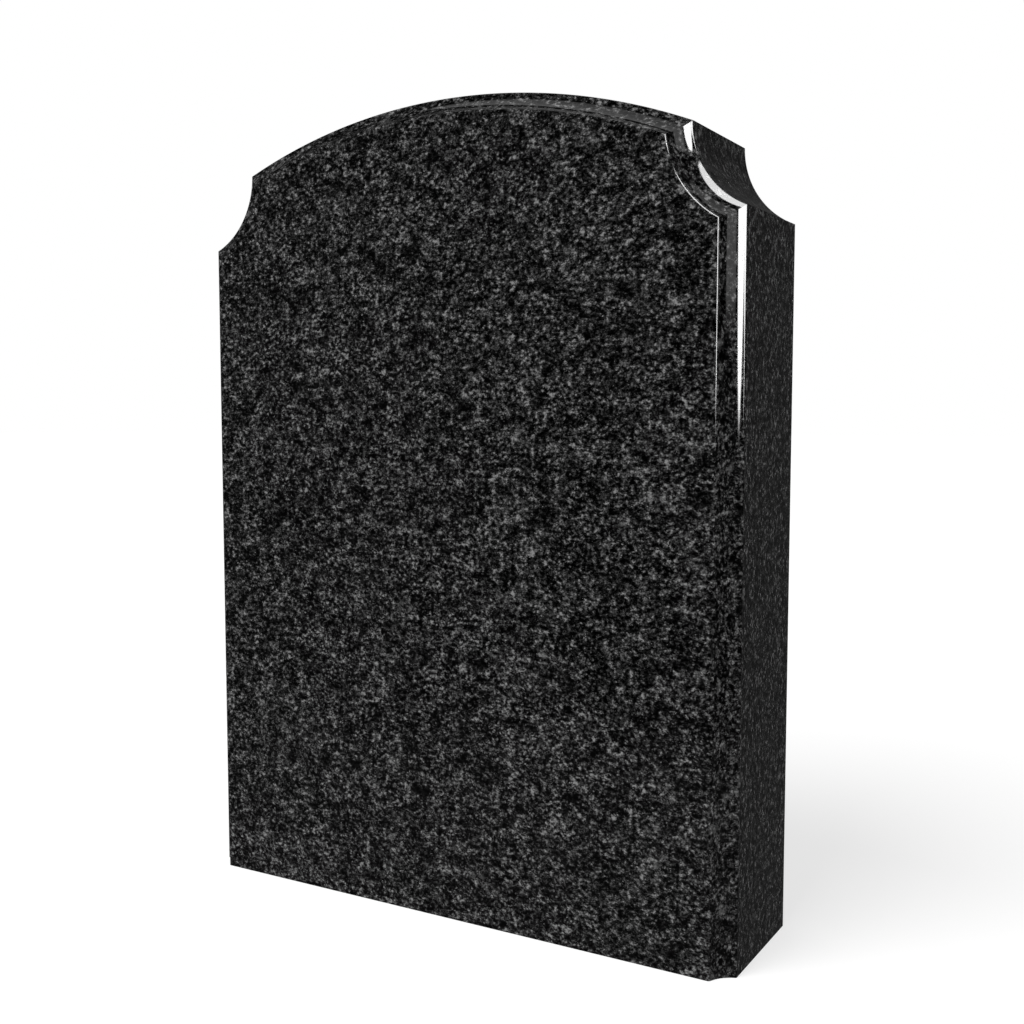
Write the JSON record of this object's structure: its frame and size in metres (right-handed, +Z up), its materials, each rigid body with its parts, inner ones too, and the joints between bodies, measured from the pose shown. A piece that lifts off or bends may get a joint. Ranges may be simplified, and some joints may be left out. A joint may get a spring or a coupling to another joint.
{
  "type": "headstone",
  "caption": "Upright granite headstone with a shallow arched top, scooped shoulders and a cove-moulded edge round its blank polished face.",
  "frame": {"origin": "middle of the flat underside", "axes": "+Z up, +X along the width to the right of someone facing the stone, -Y out of the moulded face, +Y out of the plain back"},
  "size_m": [0.6096, 0.1524, 0.8128],
  "materials": {
    "granite": "polished black granite with fine grey flecks"
  },
  "bodies": {
    "root": {"headstone": "granite"}
  },
  "joints": []
}
